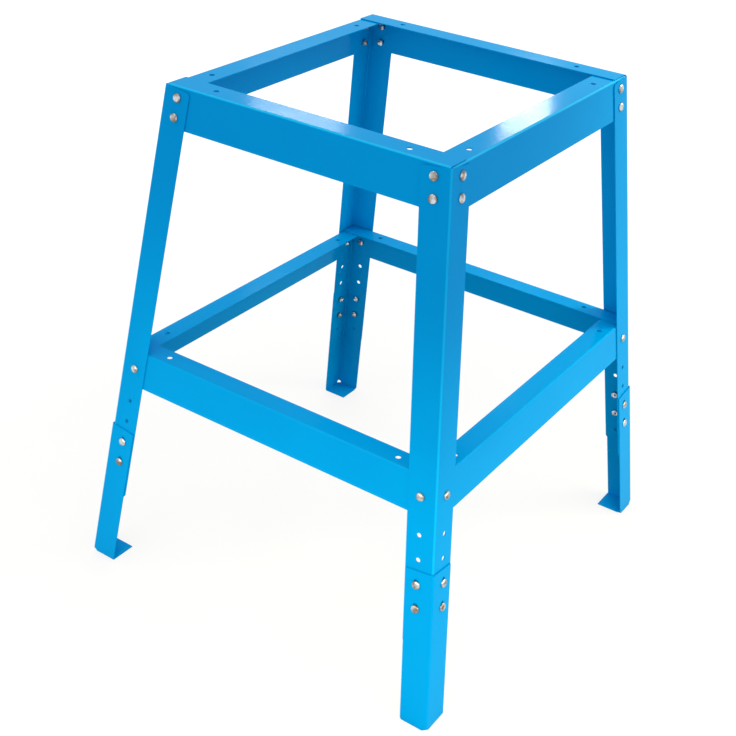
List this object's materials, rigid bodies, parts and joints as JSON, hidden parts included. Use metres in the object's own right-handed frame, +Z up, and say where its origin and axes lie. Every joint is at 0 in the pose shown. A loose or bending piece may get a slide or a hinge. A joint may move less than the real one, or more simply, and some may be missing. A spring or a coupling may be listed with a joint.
{
  "type": "bench grinder stand",
  "caption": "Free-standing machine stand of bent steel angle: splayed legs, upper and lower rail frames, and slotted bolt-on leg extensions with flat feet; carries a bench grinder.",
  "frame": {"origin": "on the floor, in the middle between the four feet", "axes": "+Z up, -Y the front of the stand, +X to the right as seen from the front"},
  "size_m": [0.66, 0.7, 0.8],
  "materials": {
    "blue_enamel": "gloss mid-blue enamel on steel sheet",
    "zinc_fastener": "bright zinc plate"
  },
  "bodies": {
    "stand": {"back_face_left_extension_bolt_1": "zinc_fastener", "back_face_left_extension_bolt_2": "zinc_fastener", "back_face_left_lower_bolt": "zinc_fastener", "back_face_left_upper_bolt_1": "zinc_fastener", "back_face_left_upper_bolt_2": "zinc_fastener", "back_face_right_extension_bolt_1": "zinc_fastener", "back_face_right_extension_bolt_2": "zinc_fastener", "back_face_right_lower_bolt": "zinc_fastener", "back_face_right_upper_bolt_1": "zinc_fastener", "back_face_right_upper_bolt_2": "zinc_fastener", "back_left_leg": "blue_enamel", "back_lower_rail": "blue_enamel", "back_right_leg": "blue_enamel", "back_upper_rail": "blue_enamel", "front_face_left_extension_bolt_1": "zinc_fastener", "front_face_left_extension_bolt_2": "zinc_fastener", "front_face_left_lower_bolt": "zinc_fastener", "front_face_left_upper_bolt_1": "zinc_fastener", "front_face_left_upper_bolt_2": "zinc_fastener", "front_face_right_extension_bolt_1": "zinc_fastener", "front_face_right_extension_bolt_2": "zinc_fastener", "front_face_right_lower_bolt": "zinc_fastener", "front_face_right_upper_bolt_1": "zinc_fastener", "front_face_right_upper_bolt_2": "zinc_fastener", "front_left_leg": "blue_enamel", "front_lower_rail": "blue_enamel", "front_right_leg": "blue_enamel", "front_upper_rail": "blue_enamel", "left_face_back_extension_bolt_1": "zinc_fastener", "left_face_back_extension_bolt_2": "zinc_fastener", "left_face_back_lower_bolt": "zinc_fastener", "left_face_back_upper_bolt_1": "zinc_fastener", "left_face_back_upper_bolt_2": "zinc_fastener", "left_face_front_extension_bolt_1": "zinc_fastener", "left_face_front_extension_bolt_2": "zinc_fastener", "left_face_front_lower_bolt": "zinc_fastener", "left_face_front_upper_bolt_1": "zinc_fastener", "left_face_front_upper_bolt_2": "zinc_fastener", "left_lower_rail": "blue_enamel", "left_upper_rail": "blue_enamel", "right_face_back_extension_bolt_1": "zinc_fastener", "right_face_back_extension_bolt_2": "zinc_fastener", "right_face_back_lower_bolt": "zinc_fastener", "right_face_back_upper_bolt_1": "zinc_fastener", "right_face_back_upper_bolt_2": "zinc_fastener", "right_face_front_extension_bolt_1": "zinc_fastener", "right_face_front_extension_bolt_2": "zinc_fastener", "right_face_front_lower_bolt": "zinc_fastener", "right_face_front_upper_bolt_1": "zinc_fastener", "right_face_front_upper_bolt_2": "zinc_fastener", "right_lower_rail": "blue_enamel", "right_upper_rail": "blue_enamel"},
    "front_right_extension": {"front_right_extension": "blue_enamel"},
    "back_right_extension": {"back_right_extension": "blue_enamel"},
    "back_left_extension": {"back_left_extension": "blue_enamel"},
    "front_left_extension": {"front_left_extension": "blue_enamel"}
  },
  "joints": [
    {"name": "front_right_extension_slide", "type": "slide", "parent": "stand", "child": "front_right_extension", "axis": [0.121, -0.121, -0.9853], "range_m": [0, 0.006]},
    {"name": "back_right_extension_slide", "type": "slide", "parent": "stand", "child": "back_right_extension", "axis": [0.121, 0.121, -0.9853], "range_m": [0, 0.006]},
    {"name": "back_left_extension_slide", "type": "slide", "parent": "stand", "child": "back_left_extension", "axis": [-0.121, 0.121, -0.9853], "range_m": [0, 0.006]},
    {"name": "front_left_extension_slide", "type": "slide", "parent": "stand", "child": "front_left_extension", "axis": [-0.121, -0.121, -0.9853], "range_m": [0, 0.006]}
  ]
}
